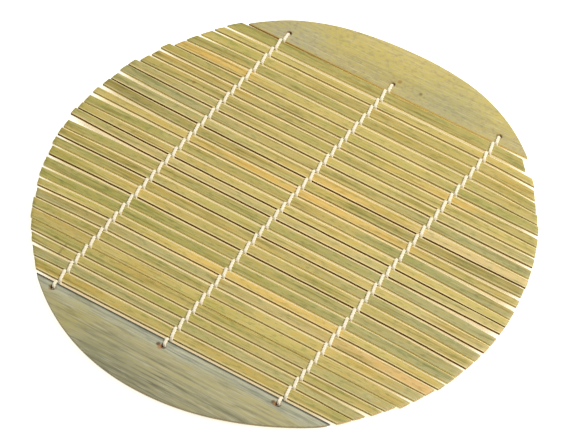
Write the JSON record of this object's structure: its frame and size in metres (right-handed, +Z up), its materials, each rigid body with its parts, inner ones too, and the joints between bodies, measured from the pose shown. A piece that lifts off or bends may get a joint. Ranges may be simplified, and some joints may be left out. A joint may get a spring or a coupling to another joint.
{
  "type": "bamboo draining mat",
  "caption": "Round flat draining mat of split bamboo slats between half-moon end boards, twined with doubled cotton string.",
  "frame": {"origin": "centre of the mat's box, on the surface that it lies on", "axes": "+X along the slats, +Y along the strings towards the far end board, +Z up"},
  "size_m": [0.1798, 0.1786, 0.0033],
  "materials": {
    "bamboo_slat": "split bamboo, dry and unvarnished, olive to amber",
    "bamboo_board": "flattened bamboo skin, smooth, faintly streaked grey-green to khaki",
    "cotton_string": "twisted cotton, matt, off-white"
  },
  "bodies": {
    "root": {"slat_01": "bamboo_slat", "slat_02": "bamboo_slat", "slat_03": "bamboo_slat", "slat_04": "bamboo_slat", "slat_05": "bamboo_slat", "slat_06": "bamboo_slat", "slat_07": "bamboo_slat", "slat_08": "bamboo_slat", "slat_09": "bamboo_slat", "slat_10": "bamboo_slat", "slat_11": "bamboo_slat", "slat_12": "bamboo_slat", "slat_13": "bamboo_slat", "slat_14": "bamboo_slat", "slat_15": "bamboo_slat", "slat_16": "bamboo_slat", "slat_17": "bamboo_slat", "slat_18": "bamboo_slat", "slat_19": "bamboo_slat", "slat_20": "bamboo_slat", "slat_21": "bamboo_slat", "slat_22": "bamboo_slat", "slat_23": "bamboo_slat", "slat_24": "bamboo_slat", "slat_25": "bamboo_slat", "slat_26": "bamboo_slat", "slat_27": "bamboo_slat", "slat_28": "bamboo_slat", "slat_29": "bamboo_slat", "slat_30": "bamboo_slat", "board_far": "bamboo_board", "board_near": "bamboo_board", "string_left": "cotton_string", "string_middle": "cotton_string", "string_right": "cotton_string"}
  },
  "joints": []
}
